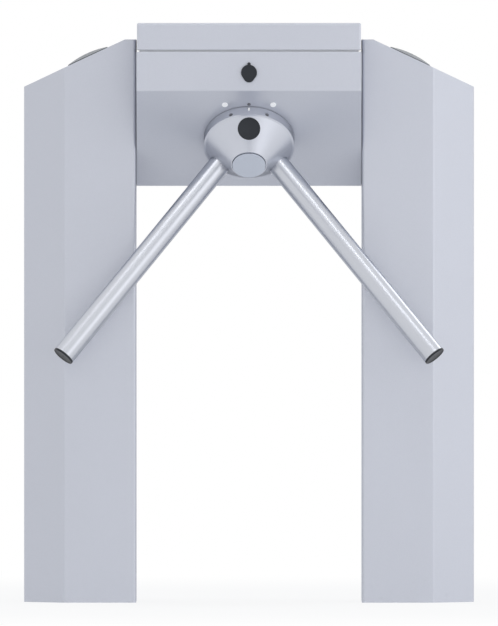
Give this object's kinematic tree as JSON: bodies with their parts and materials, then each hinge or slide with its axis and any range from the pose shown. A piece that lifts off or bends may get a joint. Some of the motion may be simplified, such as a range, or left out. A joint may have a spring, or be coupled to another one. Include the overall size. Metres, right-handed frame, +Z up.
{
  "type": "tripod turnstile",
  "caption": "Waist-high turnstile with tube arms on a tilted hub under a bridge housing between chamfered pylons.",
  "frame": {"origin": "on the floor, midway between the pylons and at half their depth, the centre of the anchors", "axes": "+Z up, the arms stand out towards -Y, and +X is to the right for someone facing the arms"},
  "size_m": [0.7776, 0.7506, 1],
  "materials": {
    "body_paint": "fine-textured silver-grey powder coat",
    "hub_metal": "satin silver casting",
    "arm_steel": "polished stainless tube",
    "black_plastic": "satin black moulding",
    "black_rubber": "matte black rubber",
    "grey_rubber": "mid-grey silicone",
    "lens_plastic": "frosted grey lens",
    "white_plastic": "white moulding",
    "zinc_steel": "bright zinc-plated steel",
    "dark_steel": "blackened steel",
    "brass": "plain brass",
    "cast_aluminium": "sand-cast aluminium",
    "motor_paint": "satin black paint",
    "circuit_board": "green solder mask"
  },
  "bodies": {
    "frame": {"right_pylon": "body_paint", "left_pylon": "body_paint", "base_plates": "zinc_steel", "right_service_panel": "body_paint", "left_service_panel": "body_paint", "panel_screws": "zinc_steel", "lenses": "lens_plastic", "lens_gaskets": "black_rubber", "lamp_boards": "circuit_board", "card_readers": "black_plastic", "housing": "body_paint", "joint_gaskets": "grey_rubber", "bridge_bolts": "zinc_steel", "cable_grommets": "black_rubber", "lid_seal": "grey_rubber", "hinge_fixed_leaves": "body_paint", "hinge_pins": "zinc_steel", "lock_barrel": "zinc_steel", "lock_nut": "zinc_steel", "lock_cover_pin": "dark_steel", "bearing_outer_races": "zinc_steel", "bearing_body": "cast_aluminium", "bearing_body_screws": "zinc_steel", "locating_screw": "dark_steel", "mechanism_plate": "zinc_steel", "mechanism_screws": "zinc_steel", "screw_covers": "white_plastic", "pawl_posts": "zinc_steel", "solenoids": "black_plastic", "drive_motor": "motor_paint", "fork_sensor": "black_plastic", "motor_bracket": "zinc_steel", "control_board": "circuit_board", "power_supply": "zinc_steel"},
    "tripod": {"hub": "hub_metal", "hub_cap": "hub_metal", "home_mark": "white_plastic", "hub_nut": "zinc_steel", "hub_set_screws": "dark_steel", "arm_1": "arm_steel", "arm_2": "arm_steel", "arm_3": "arm_steel", "arm_end_caps": "black_plastic", "main_shaft": "zinc_steel", "bearing_inner_races": "zinc_steel", "lock_wheel": "zinc_steel", "drive_gear": "zinc_steel", "encoder_disc": "dark_steel", "shaft_nut": "zinc_steel"},
    "motor_pinion": {"motor_pinion": "zinc_steel"},
    "left_pawl": {"left_pawl": "zinc_steel"},
    "right_pawl": {"right_pawl": "zinc_steel"},
    "left_plunger": {"left_plunger": "zinc_steel"},
    "right_plunger": {"right_plunger": "zinc_steel"},
    "lid": {"lid": "body_paint", "hinge_lid_leaves": "body_paint", "lid_catch": "zinc_steel"},
    "lock_plug": {"lock_plug": "brass", "lock_cam": "zinc_steel"},
    "lock_cover": {"lock_cover": "black_plastic"}
  },
  "joints": [
    {"name": "tripod_spin", "type": "hinge", "parent": "frame", "child": "tripod", "pos_m": [0, -0.1261, 0.8011], "axis": [0, -0.7071, -0.7071], "continuous": true},
    {"name": "pinion_spin", "type": "hinge", "parent": "frame", "child": "motor_pinion", "pos_m": [0, -0.07519, 0.75019], "axis": [0, -0.7071, -0.7071], "continuous": true},
    {"name": "left_pawl_swing", "type": "hinge", "parent": "frame", "child": "left_pawl", "pos_m": [-0.084, -0.11903, 0.79403], "axis": [0, 0.7071, 0.7071], "range_deg": [0, 10]},
    {"name": "left_plunger_slide", "type": "slide", "parent": "frame", "child": "left_plunger", "axis": [0, -0.7071, 0.7071], "range_m": [0, 0.00384]},
    {"name": "right_pawl_swing", "type": "hinge", "parent": "frame", "child": "right_pawl", "pos_m": [0.084, -0.11903, 0.79403], "axis": [0, -0.7071, -0.7071], "range_deg": [0, 10]},
    {"name": "right_plunger_slide", "type": "slide", "parent": "frame", "child": "right_plunger", "axis": [0, -0.7071, 0.7071], "range_m": [0, 0.00384]},
    {"name": "lid_swing", "type": "hinge", "parent": "frame", "child": "lid", "pos_m": [0, 0.1145, 0.95225], "axis": [-1, 0, 0], "range_deg": [0, 105]},
    {"name": "lock_turn", "type": "hinge", "parent": "frame", "child": "lock_plug", "pos_m": [0, -0.208, 0.9125], "axis": [0, 1, 0], "range_deg": [0, 90]},
    {"name": "lock_cover_swing", "type": "hinge", "parent": "frame", "child": "lock_cover", "pos_m": [0, -0.208, 0.9293], "axis": [0, -1, 0], "range_deg": [-105, 105]}
  ],
  "couplings": [
    {"joint": "pinion_spin", "follows": "tripod_spin", "ratio": -3},
    {"joint": "left_plunger_slide", "follows": "left_pawl_swing", "m_per_rad": 0.022},
    {"joint": "right_plunger_slide", "follows": "right_pawl_swing", "m_per_rad": 0.022}
  ]
}
